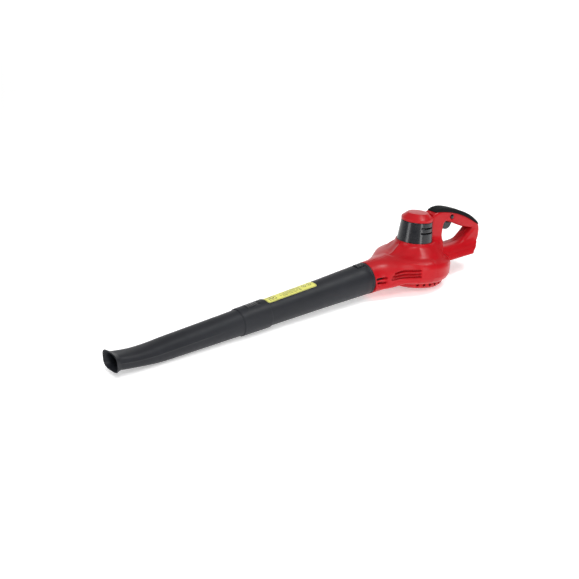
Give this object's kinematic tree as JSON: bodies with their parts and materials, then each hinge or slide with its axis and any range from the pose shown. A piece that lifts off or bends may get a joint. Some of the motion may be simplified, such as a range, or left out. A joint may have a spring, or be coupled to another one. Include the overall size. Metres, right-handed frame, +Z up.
{
  "type": "leaf blower",
  "caption": "Handheld leaf blower with a vertical motor tower, flat fan housing, loop handle with battery foot, and a tube with a flattened nozzle.",
  "frame": {"origin": "on the ground, under the middle of the tool's length and width, as it lies at rest on its intake guard and the belly of its nozzle", "axes": "-X points the way the air is blown, +Z is up, and +Y is the right hand side of a user who stands behind the handle"},
  "size_m": [0.882, 0.155, 0.1504],
  "materials": {
    "red_plastic": "moulded red nylon, satin gloss",
    "black_plastic": "moulded black plastic, satin",
    "tube_plastic": "blow-moulded black polyethylene, fine grain",
    "grip_rubber": "soft-touch overmould",
    "label_vinyl": "yellow vinyl label",
    "inner_plastic": "glass-filled black nylon",
    "bright_steel": "zinc-plated",
    "silicon_steel": "laminated steel stack",
    "ferrite": "sintered ferrite",
    "enamelled_copper": "enamelled copper wire",
    "copper": "turned copper segments",
    "bronze": "sintered bronze",
    "carbon": "pressed carbon",
    "contact_brass": "stamped brass",
    "lead_red": "PVC insulation",
    "lead_black": "PVC insulation"
  },
  "bodies": {
    "housing": {"housing_left": "red_plastic", "housing_right": "red_plastic", "intake_guard": "red_plastic", "motor_vent_band": "black_plastic", "tower_cap": "red_plastic", "soft_grip": "grip_rubber", "trigger_pin": "bright_steel", "trigger_spring": "bright_steel", "lock_spring": "bright_steel", "switch_module": "inner_plastic", "contact_block": "inner_plastic", "battery_contacts": "contact_brass", "battery_leads": "lead_red", "motor_leads": "lead_black", "fan_chamber_plate": "inner_plastic", "motor_cradle": "inner_plastic", "motor_can": "bright_steel", "motor_magnets": "ferrite", "motor_end_bell": "inner_plastic", "motor_brushes": "carbon", "motor_bushings": "bronze", "motor_screws": "bright_steel", "guard_screws": "bright_steel", "housing_screws": "bright_steel"},
    "rotor": {"motor_shaft": "bright_steel", "armature_core": "silicon_steel", "armature_windings": "enamelled_copper", "commutator": "copper", "cooling_fan": "inner_plastic", "impeller": "inner_plastic", "impeller_nut": "bright_steel"},
    "trigger": {"trigger": "black_plastic"},
    "lock_button": {"lock_button": "black_plastic"},
    "tube": {"tube": "tube_plastic", "tube_label": "label_vinyl"},
    "tube_latch": {"tube_latch": "black_plastic"},
    "nozzle_latch": {"nozzle_latch": "black_plastic"},
    "nozzle": {"nozzle": "tube_plastic"}
  },
  "joints": [
    {"name": "fan_spin", "type": "hinge", "parent": "housing", "child": "rotor", "pos_m": [0.26361, 0, 0.04787], "axis": [0.1201, 0, 0.9928], "continuous": true},
    {"name": "trigger_squeeze", "type": "hinge", "parent": "housing", "child": "trigger", "pos_m": [0.34235, 0, 0.11591], "axis": [0, -1, 0], "range_deg": [0, 9], "stiffness_Nm_per_rad": 1.2, "springref_deg": -6.88, "deforming": ["trigger_spring"]},
    {"name": "lock_press", "type": "slide", "parent": "housing", "child": "lock_button", "axis": [0, 1, 0], "range_m": [0, 0.003], "stiffness_N_per_m": 700, "springref_m": -0.002, "deforming": ["lock_spring"]},
    {"name": "tube_pull", "type": "slide", "parent": "housing", "child": "tube", "axis": [-0.9992, 0, -0.0401], "range_m": [0, 0.06], "deforming": ["tube_latch"]},
    {"name": "tube_latch_press", "type": "slide", "parent": "tube", "child": "tube_latch", "axis": [0.0401, 0, -0.9992], "range_m": [0, 0.002], "stiffness_N_per_m": 2500, "springref_m": -0.001},
    {"name": "nozzle_pull", "type": "slide", "parent": "tube", "child": "nozzle", "axis": [-0.9992, 0, -0.0401], "range_m": [0, 0.08], "deforming": ["nozzle_latch"]},
    {"name": "nozzle_latch_press", "type": "slide", "parent": "tube", "child": "nozzle_latch", "axis": [0.0401, 0, -0.9992], "range_m": [0, 0.003], "stiffness_N_per_m": 2500, "springref_m": -0.001}
  ]
}
